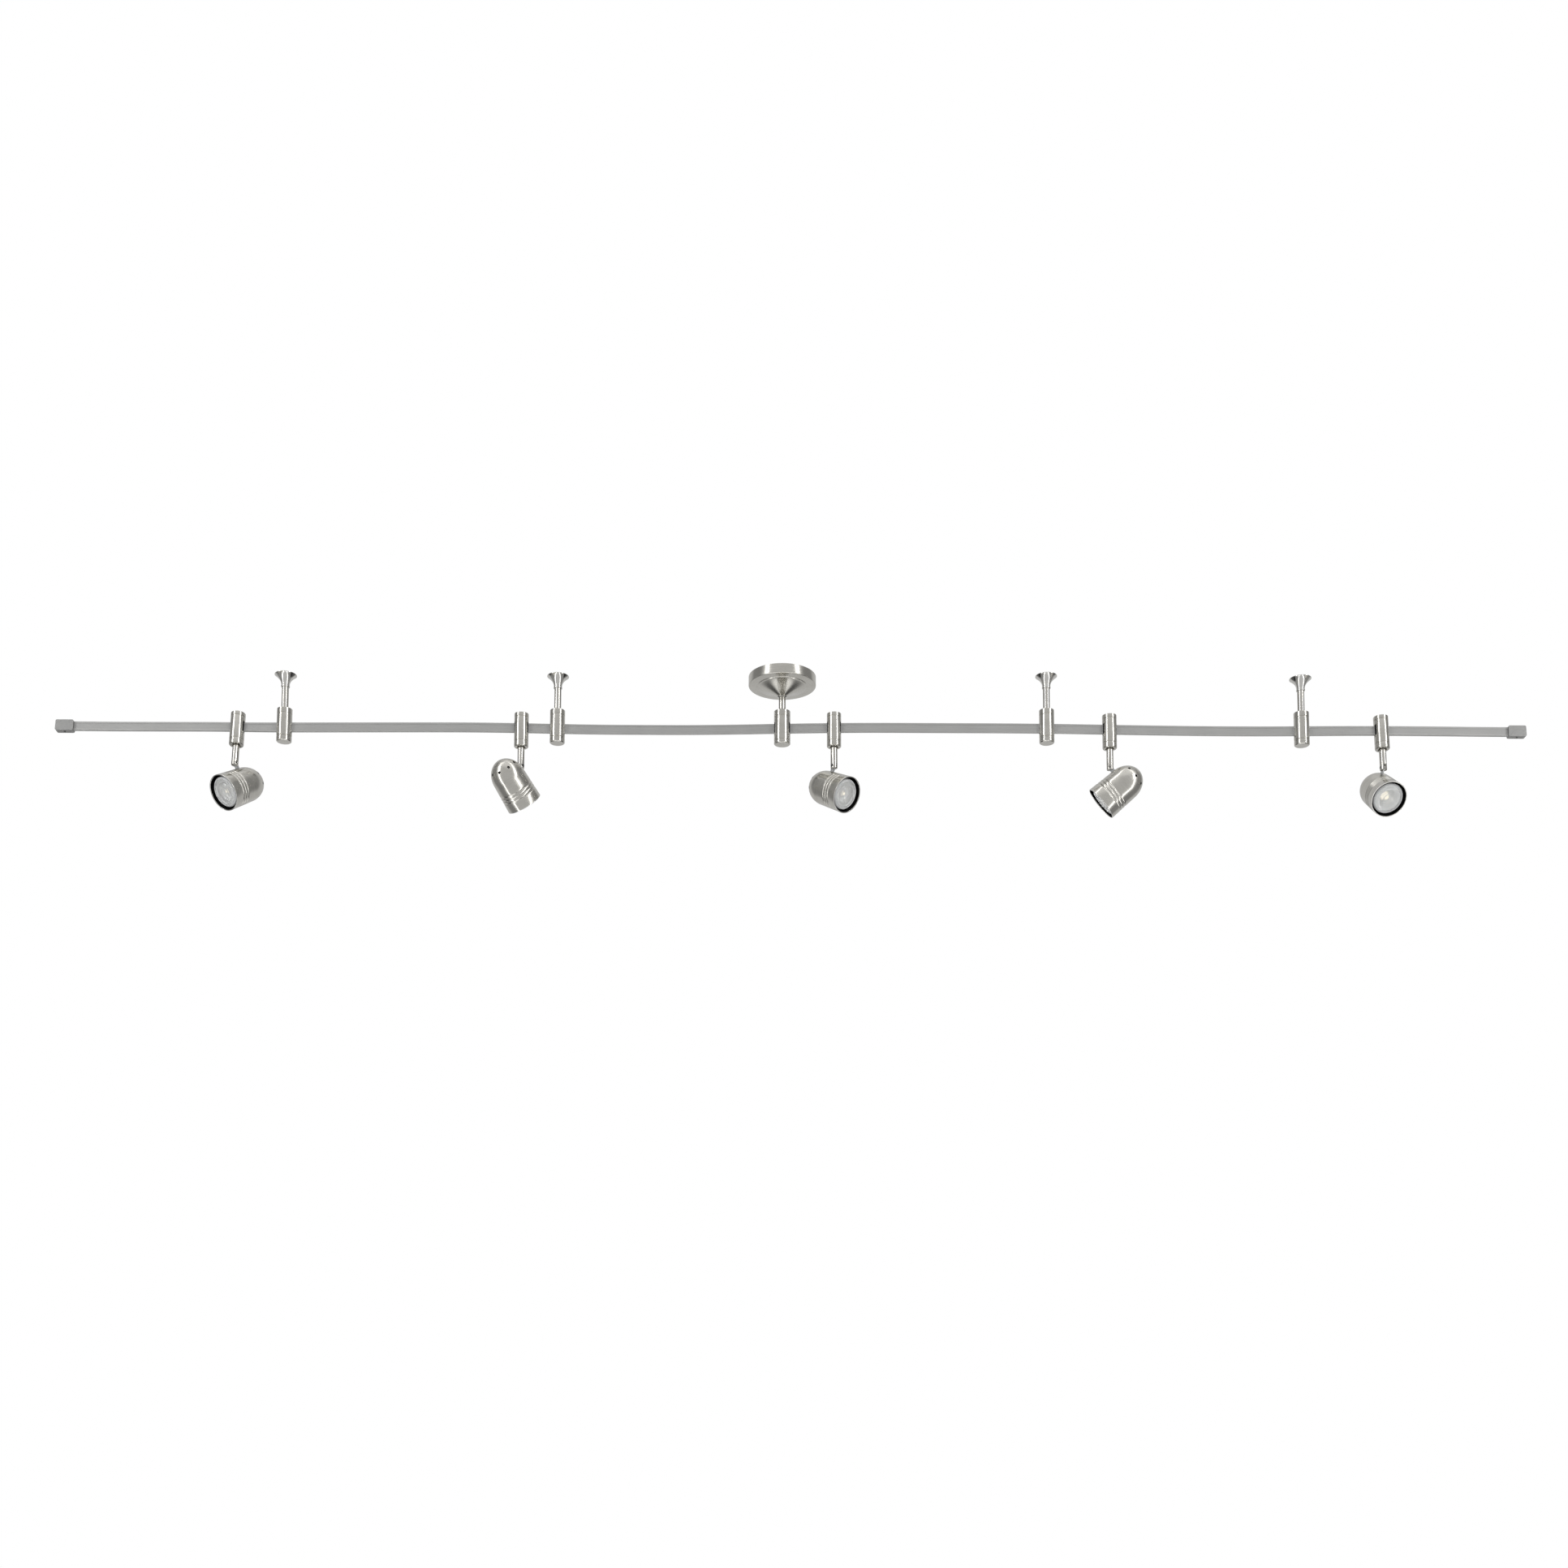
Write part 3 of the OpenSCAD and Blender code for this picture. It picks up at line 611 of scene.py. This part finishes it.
# Its clamp body and screw-on cap, from the rail's middle.
STANDOFF_R = 12.4
STANDOFF_TOP = 31.0
STANDOFF_GROOVE = 22.0
STANDOFF_SPLIT = -16.0
STANDOFF_FOOT = -25.0
SPLIT_LINE = 0.25
# The two grooves of the cap, above its foot.
CAP_GROOVES = (3.4, 6.4)


def cup_mesh(name, lip, bottom):
    """A trumpet-shaped cup with a small collar at its foot."""
    flare_end = bottom + FLARE_END
    flare = []
    for i in range(FLARE_STEPS + 1):
        u = i / FLARE_STEPS
        r = CUP_NECK_R + (lip - CUP_NECK_R) * (1 - u) ** 2
        flare.append((r, -LIP_H + (flare_end + LIP_H) * u))
    collar = [(CUP_NECK_R - 0.5, bottom + 3.3), (CUP_NECK_R - 0.5, bottom + 2.7),
              (CUP_NECK_R + 0.3, bottom + 2.4), (CUP_NECK_R + 0.3, bottom + 0.4),
              (CUP_NECK_R - 0.1, bottom), (CUP_BORE_R, bottom)]
    inside = [(CUP_BORE_R, CUP_BORE_TOP), (CUP_MOUTH_R, CUP_MOUTH_Z), (CUP_MOUTH_R, 0)]
    outline = [(lip - 0.4, 0), (lip, -0.35)] + flare + rounded(collar, 0.25) + inside
    return lathe(name, outline, closed=True, segments=FINE)


def standoff_body_mesh(name):
    """A standoff's clamp body, slotted for the rail."""
    blank = clamp_blank(name, STANDOFF_R, STANDOFF_SPLIT, STANDOFF_TOP, (STANDOFF_GROOVE,))
    wide = 20
    slot = block((-wide, -RAIL_HALF_T, STANDOFF_FOOT - 1), (wide, RAIL_HALF_T, RAIL_SLOT_HALF))
    return combine(blank, [slot], bevel=0.15)


def standoff_cap_mesh(name):
    """A standoff clamp's screw-on cap."""
    outline = [(0, STANDOFF_FOOT), (STANDOFF_R - 1.4, STANDOFF_FOOT), (STANDOFF_R, STANDOFF_FOOT + 1.2)]
    for rise in CAP_GROOVES:
        outline += groove(STANDOFF_R, STANDOFF_FOOT + rise, 0.8, 0.6)
    top = STANDOFF_SPLIT - SPLIT_LINE
    outline += [(STANDOFF_R, top), (0, top)]
    return lathe(name, rounded(outline, 0.5), segments=FINE)


def make_standoffs():
    """The four standoffs: polished trumpet cup, rod, clamp and its screw-on cap."""
    for k in STANDOFFS:
        x, y = mounts[f"standoff_hole_{k}"]["pos_m"][:2]
        ceiling = Matrix.Translation((x, y, 0))
        low, high = local_box(f"standoff_cup_{k}", ceiling)
        cup = cup_mesh(f"cup_{k}", high.x, low.z)
        piece(f"cup_{k}", cup, ceiling, "root", [POLISHED], [f"standoff_cup_{k}"])
        outline = [(0, ROD_FOOT), (ROD_R, ROD_FOOT), (ROD_R, ROD_TOP), (0, ROD_TOP)]
        rod = lathe(f"rod_{k}", rounded(outline, 0.2))
        piece(f"rod_{k}", rod, ceiling, "root", [NICKEL_FINE], ["standoff_rods"])
        place = rail_frame(x)
        name = f"standoff_body_{k}"
        clamp = standoff_body_mesh(name)
        piece(name, clamp, place, "root", [NICKEL], ["standoff_clamps"])
        name = f"standoff_cap_{k}"
        cap = standoff_cap_mesh(name)
        piece(name, cap, place, "root", [NICKEL_FINE], ["standoff_caps"])


# ---- heads -------------------------------------------------------------------------------------

# A stem: its rod, the neck above its shoulder and the swaged head on top.
STEM_R = 5.65
STEM_NECK_R = 4.0
STEM_HEAD_R = 6.2
STEM_HEAD_H = 3
SHOULDER_DROP = 6.7
# The rod's top is polished from this far below the shoulder.
STEM_POLISH = 5.5
# Its fork: half the slot, the slot's top above the pivot, the screw's hole and its head's pockets.
FORK_SLOT_HALF = 1.3
FORK_SLOT_TOP = 4.6
SCREW_HOLE_R = 1.5
SCREW_POCKET_R = 2.7
SCREW_POCKET_FROM = 4.4


def stem_mesh():
    """A stem from its swaged head down to the forked end, its origin at the pivot."""
    low, high = local_box("stem_2", stem_frame(2))
    foot, top = low.z, high.z
    shoulder = top - SHOULDER_DROP
    head = top - STEM_HEAD_H
    outline = [(0, foot), (STEM_R, foot), (STEM_R, shoulder), (STEM_NECK_R, shoulder), (STEM_NECK_R, head),
               (STEM_HEAD_R, head), (STEM_HEAD_R, top), (0, top)]
    across = Matrix.Rotation(math.pi / 2, 4, "X")
    past = 9
    mesh = combine(lathe("stem", rounded(outline, 0.5)), [
        block((-past, -FORK_SLOT_HALF, foot - 1), (past, FORK_SLOT_HALF, FORK_SLOT_TOP)),
        peg(SCREW_POCKET_R, SCREW_POCKET_FROM, past, across),
        peg(SCREW_POCKET_R, -past, -SCREW_POCKET_FROM, across),
        peg(SCREW_HOLE_R, -past, past, across),
    ], bevel=0.2)
    for p in mesh.polygons:
        p.material_index = 1 if p.center.z > (shoulder - STEM_POLISH) * MM else 0
    return mesh


# A shell: its wall, the radius where the dome starts, the dome's length, and where its mouth's edge is
# under the polished rim.
SHELL_WALL = 1.2
SHOULDER_R = 28.2
DOME_LEN = 33.0
DOME_STEPS = 28
LIP_Z = 0.3
# The soft grooves: their middles behind the rim, half their width and their depth.
SHELL_GROOVES = (16.5, 22.0, 27.5)
GROOVE_HALF = 1.5
GROOVE_DIP = 0.75
GROOVE_STEPS = 8
# From here to the dome, the side is plain.
PLAIN_FROM = 32.0
PLAIN_STEPS = 3
# The dome's vent holes: how many, their lean from the dome's axis in degrees, and their radius.
VENT_COUNT = 8
VENT_LEAN = 48
VENT_R = 2.3
# From the dome's middle, the holes are cut between these two distances.
VENT_CUT = (14, 56)
# The bracket's slot: half its width and half its height.
TAB_SLOT_HALF_W = 1.15
TAB_SLOT_HALF_H = 3.6


def shell_outline(rim_r, length):
    """The shell's outer outline from the lip to the end of the dome."""
    dome_z = length - DOME_LEN

    def radius(z):
        return rim_r + (SHOULDER_R - rim_r) * z / dome_z

    outline = [(rim_r - SHELL_WALL, LIP_Z), (rim_r - 0.5, LIP_Z), (radius(1.0), 1.0)]
    for middle in SHELL_GROOVES:
        for i in range(GROOVE_STEPS + 1):
            z = middle + GROOVE_HALF * (i - GROOVE_STEPS / 2) / (GROOVE_STEPS / 2)
            dip = GROOVE_DIP * (1 + math.cos(math.pi * (z - middle) / GROOVE_HALF)) / 2
            outline.append((radius(z) - dip, z))
    for i in range(PLAIN_STEPS):
        z = PLAIN_FROM + (dome_z - PLAIN_FROM) * i / PLAIN_STEPS
        outline.append((radius(z), z))
    return outline + dome_outline(SHOULDER_R, dome_z, DOME_LEN) + [(0, length)]


def dome_outline(r, start, length):
    """A dome's outline from its start, without the point on the axis."""
    angles = (math.radians(90 * i / DOME_STEPS) for i in range(DOME_STEPS))
    return [(r * math.cos(a), start + length * math.sin(a)) for a in angles]


def shell_mesh(rim_r, length, reach):
    """A bullet-shaped shell with its grooves, vents and a slot for the bracket at reach.

    Z runs from the rim to the dome. The inside has the second material, a near-black painted shade.
    """
    dome_z = length - DOME_LEN
    inner = dome_outline(SHOULDER_R - SHELL_WALL, dome_z, DOME_LEN - SHELL_WALL)
    inner += [(0, length - SHELL_WALL)]
    mesh = lathe("shell", shell_outline(rim_r, length)[::-1] + inner, segments=FINEST)
    vents = []
    for i in range(VENT_COUNT):
        around = Matrix.Rotation(math.radians((i + 0.5) * 360 / VENT_COUNT), 4, "Z")
        turn = around @ Matrix.Rotation(math.radians(VENT_LEAN), 4, "Y")
        vents.append(peg(VENT_R, *VENT_CUT, Matrix.Translation((0, 0, dome_z * MM)) @ turn))
    past = 40
    slot = block((SHOULDER_R / 2, -TAB_SLOT_HALF_W, reach - TAB_SLOT_HALF_H),
                 (past, TAB_SLOT_HALF_W, reach + TAB_SLOT_HALF_H))
    mesh = combine(mesh, vents + [slot], bevel=0.15)
    # Faces that look inwards get the near-black painted shade.
    middle = Vector((0, 0, dome_z * MM))
    for p in mesh.polygons:
        out = p.center - middle
        if p.center.z < middle.z:
            out.z = 0
        p.material_index = 1 if p.normal.dot(out) < 0 else 0
    return mesh


def rim_mesh(rim_r):
    """The polished ring round the shell's mouth."""
    inner_r = rim_r - 1.5
    outline = [(inner_r, 0), (rim_r, 0), (rim_r, 1.3), (rim_r - 0.5, 1.5), (inner_r, 1.3)]
    return lathe("rim", rounded(outline, 0.45, closed=True), closed=True, segments=FINEST)


# The lamp's and its optic's radii. Heights in the lamp's outlines count from its face, backwards.
LAMP_R = 25.0
LENS_R = 21.6


def housing_outline():
    """The lamp's housing: a front ring, a cone and the base that goes into the lampholder."""
    return [(LENS_R + 0.1, 0.2), (LENS_R + 0.8, 0), (LAMP_R - 0.6, 1.6), (LAMP_R, 2.6), (LAMP_R, 6),
            (LAMP_R - 1.6, 9), (LAMP_R - 5, 17), (LAMP_R - 9.5, 26), (14, 33), (11.5, 36),
            (11.5, 47), (0, 47), (0, 11), (9, 11), (LENS_R - 1, 3.2), (LENS_R + 0.1, 3)]


def optic_outline():
    """The clear optic: a middle lens, three raised rings and a rim."""
    outline = [(0, 1.2), (4.2, 1.0), (5.0, 0.4), (6.6, 0.4), (7.4, 1.4)]
    for ring in range(3):
        start = 8.4 + 2.1 * ring
        outline += [(start, 1.4), (start + 0.9, 0.5), (start + 1.9, 1.4)]
    outline += [(15.2, 0.5), (LENS_R - 2.4, 0.35), (LENS_R - 1.7, -0.15), (LENS_R - 0.4, -0.15)]
    outline += [(LENS_R, 0.4), (LENS_R, 2.4), (0, 2.4)]
    return outline


REFLECTOR_OUTLINE = ((4.2, 10.6), (6, 8), (9, 5.6), (13, 4.0), (LENS_R - 0.6, 3.2),
                     (LENS_R - 0.6, 3.8), (9, 10.6))
LED_OUTLINE = ((0, 9.2), (3.2, 9.4), (4.1, 10.2), (4.1, 10.9), (0, 10.9))


def lamp_meshes(face):
    """A reflector lamp's parts and their materials, its face at this depth behind the rim."""

    def behind(outline):
        return [(r, face + z) for r, z in outline]

    return {
        "housing": (lathe("lamp_housing", rounded(behind(housing_outline()), 0.5)), LAMP_WHITE),
        "optic": (lathe("lamp_optic", behind(optic_outline()), segments=FINE), LENS),
        "reflector": (lathe("lamp_reflector", behind(REFLECTOR_OUTLINE), closed=True), REFLECTOR),
        "led": (lathe("lamp_led", behind(LED_OUTLINE)), PHOSPHOR_PAINTED_GLOW),
    }


def make_heads():
    """Stems, shells, polished rims and lamps of the five heads."""
    rim_high = local_box("shell_2", shell_frame(2))[1]
    rim_r, length = rim_high.y, rim_high.z
    reach = local_box("shell_2", head_frame(2))[1].x
    stem = stem_mesh()
    shell = shell_mesh(rim_r, length, reach)
    rim = rim_mesh(rim_r)
    lamp = lamp_meshes(local_box("lamp_2", shell_frame(2))[0].z)
    for k in HEADS:
        place = shell_frame(k)
        body = f"head_{k}"
        piece(f"stem_tube_{k}", stem, stem_frame(k), f"stem_{k}", [NICKEL_FINE, POLISHED],
              [f"stem_{k}"])
        piece(f"shell_body_{k}", shell, place, body, [NICKEL, INSIDE_PAINTED_SHADE], [f"shell_{k}"])
        piece(f"shell_rim_{k}", rim, place, body, [POLISHED])
        for part, (mesh, material) in lamp.items():
            stands_for = [f"lamp_{k}"] if part == "housing" else ()
            piece(f"lamp_{part}_{k}", mesh, place, body, [material], stands_for)


# ---- finishes of the CAD nodes that stay -------------------------------------------------------

# A node's material goes by how its name starts.
FINISHES = {
    "rail_core": WEB,
    "rail_bars": RAIL,
    "end_cap": CAP,
    "grub_screws": DARK_STEEL,
    "canopy_crossbar": SHEET,
    "canopy_nipple": BRASS,
    "earth_screw": GREEN,
    "feed_leads": WIRE,
    "contact_blocks": BLACK,
    "standoff_bases": SHEET,
    "pivot_screw": DARK_STEEL,
    "bracket": SHEET,
    "socket": CERAMIC,
}
CAD_SHARP_DEG = 25.0
END_CAP_EDGE = 0.7


def finish_cad_nodes():
    """Materials and slots for the CAD nodes that aren't replaced, and softened edges for the end caps."""
    for name, o in nodes.items():
        found = [m for key, m in FINISHES.items() if name.startswith(key)]
        if o.hide_render or not found:
            continue
        o.data.materials.clear()
        o.data.materials.append(found[0])
        finish_mesh(o.data, CAD_SHARP_DEG)
        if name.startswith("end_cap"):
            edge = o.modifiers.new("edge", "BEVEL")
            edge.width = END_CAP_EDGE * MM
            edge.segments = 3
            edge.limit_method = "ANGLE"
            edge.angle_limit = BEVEL_ANGLE


# ---- studio ------------------------------------------------------------------------------------

# The camera: its place in metres, how far it looks up, its roll, and its lens with the picture's shift.
CAMERA_PLACE = Vector((-0.0014, -2.7947, -1.2168))
CAMERA_PITCH = math.radians(5.3)
CAMERA_ROLL = math.radians(0.12)
LENS_MM = 39.89
SENSOR_MM = 36.0
SHIFT = (0.0024, 0.2962)
FARTHEST = 200


def make_camera():
    """The camera, below the fixture and looking slightly up at it."""
    camera = bpy.data.objects.new("camera", bpy.data.cameras.new("camera"))
    bpy.context.scene.collection.objects.link(camera)
    pitch = Matrix.Rotation(math.pi / 2 + CAMERA_PITCH, 4, "X")
    camera.matrix_world = Matrix.Translation(CAMERA_PLACE) @ pitch @ Matrix.Rotation(CAMERA_ROLL, 4, "Z")
    camera.data.lens = LENS_MM
    camera.data.sensor_width = SENSOR_MM
    camera.data.shift_x, camera.data.shift_y = SHIFT
    camera.data.clip_end = FARTHEST
    bpy.context.scene.camera = camera


def direction(azimuth, elevation):
    """A unit direction: azimuth 0 is towards the camera's side, -Y, and 90 towards +X."""
    a, e = math.radians(azimuth), math.radians(elevation)
    return Vector((math.sin(a) * math.cos(e), -math.cos(a) * math.cos(e), math.sin(e)))


# Round areas of the studio's surround: azimuth, elevation, inner and outer half angle, brightness added.
# One is bright below and behind, which shows in the canopy's bell, and the dark two lie beside it.
SOFT_AREAS = (
    (180, -73, 13, 27, 1.5),
    (-140, -48, 10, 26, -0.5),
    (140, -48, 10, 26, -0.5),
    (0, 75, 20, 50, 0.3),
)
# Upright bands of the surround: azimuth, inner and outer half width, brightness added.
BANDS = (
    (-54, 3, 6, 2.6),
    (54, 3, 6, 2.6),
    (-96, 14, 34, -0.32),
    (96, 14, 34, -0.32),
)
# The surround's own brightness, and the least that the dark areas leave of it.
SURROUND = 0.6
DARKEST = 0.03


def make_world():
    """A plain white backdrop for the camera, and a grey surround with bright and dark areas."""
    world = bpy.data.worlds.new("studio")
    bpy.context.scene.world = world
    world.use_nodes = True
    tree = world.node_tree

    def vector(operation, a, b=None):
        node = tree.nodes.new("ShaderNodeVectorMath")
        node.operation = operation
        tree.links.new(a, node.inputs[0])
        if b is not None:
            node.inputs[1].default_value = b
        return node.outputs["Value" if operation == "DOT_PRODUCT" else "Vector"]

    def glow(toward, middle, inner, outer, strength):
        """strength within inner degrees of the middle direction, fading to nothing at outer."""
        node = tree.nodes.new("ShaderNodeMapRange")
        node.interpolation_type = "SMOOTHSTEP"
        node.inputs["From Min"].default_value = math.cos(math.radians(outer))
        node.inputs["From Max"].default_value = math.cos(math.radians(inner))
        node.inputs["To Max"].default_value = strength
        tree.links.new(vector("DOT_PRODUCT", toward, middle), node.inputs["Value"])
        return node.outputs[0]

    def plain_math(operation, a, b):
        node = tree.nodes.new("ShaderNodeMath")
        node.operation = operation
        tree.links.new(a, node.inputs[0])
        if isinstance(b, bpy.types.NodeSocket):
            tree.links.new(b, node.inputs[1])
        else:
            node.inputs[1].default_value = b
        return node.outputs[0]

    toward = tree.nodes.new("ShaderNodeTexCoord").outputs["Generated"]
    level = vector("NORMALIZE", vector("MULTIPLY", toward, (1, 1, 0)))
    parts = [glow(toward, direction(azimuth, up), *rest) for azimuth, up, *rest in SOFT_AREAS]
    parts += [glow(level, direction(azimuth, 0), *rest) for azimuth, *rest in BANDS]
    total = plain_math("ADD", parts[0], SURROUND)
    for part in parts[1:]:
        total = plain_math("ADD", total, part)
    total = plain_math("MAXIMUM", total, DARKEST)

    pick = tree.nodes.new("ShaderNodeMix")
    tree.links.new(tree.nodes.new("ShaderNodeLightPath").outputs["Is Camera Ray"], pick.inputs[0])
    tree.links.new(total, pick.inputs[2])
    pick.inputs[3].default_value = 1.0
    background = tree.nodes["Background"]
    background.inputs["Color"].default_value = (1, 1, 1, 1)
    tree.links.new(pick.outputs[0], background.inputs["Strength"])


# The floor in metres: half its side, and its height below the ceiling.
FLOOR_HALF = 6.0
FLOOR_Z = -2.6


def make_floor():
    """A plain pale floor that mirror-like pieces don't show."""
    mesh = bpy.data.meshes.new("floor")
    sides = ((-1, -1), (1, -1), (1, 1), (-1, 1))
    corners = [(x * FLOOR_HALF, y * FLOOR_HALF, FLOOR_Z) for x, y in sides]
    mesh.from_pydata(corners, [], [(0, 1, 2, 3)])
    floor = bpy.data.objects.new("floor", mesh)
    bpy.context.scene.collection.objects.link(floor)
    s = Shader("pale_floor", Roughness=0.9)
    clouds = s.noise(object_point(s), 0.7, 2.0)
    s.link(s.tint(clouds, (0.88, 0.88, 0.88), (0.9, 0.9, 0.9)), "Base Color")
    mesh.materials.append(s.material)
    floor.visible_glossy = False


# The two key lights: how high and how far they stand, their width and height in metres, and their power.
KEY_ELEVATION = 22
KEY_DISTANCE = 12.0
KEY_SIZE = (0.8, 6.0)
KEY_WATTS = 120


def make_light(name, azimuth):
    """A tall soft key light that faces the fixture."""
    light = bpy.data.objects.new(name, bpy.data.lights.new(name, "AREA"))
    bpy.context.scene.collection.objects.link(light)
    light.data.shape = "RECTANGLE"
    light.data.size, light.data.size_y = KEY_SIZE
    light.data.energy = KEY_WATTS
    light.location = direction(azimuth, KEY_ELEVATION) * KEY_DISTANCE
    light.rotation_euler = (-light.location).to_track_quat("-Z", "Y").to_euler()


make_camera()
make_world()
make_floor()
make_light("key_left", -52)
make_light("key_right", 52)
bpy.context.scene.view_settings.view_transform = "Standard"

make_canopy()
make_clamps()
make_standoffs()
make_heads()
finish_cad_nodes()
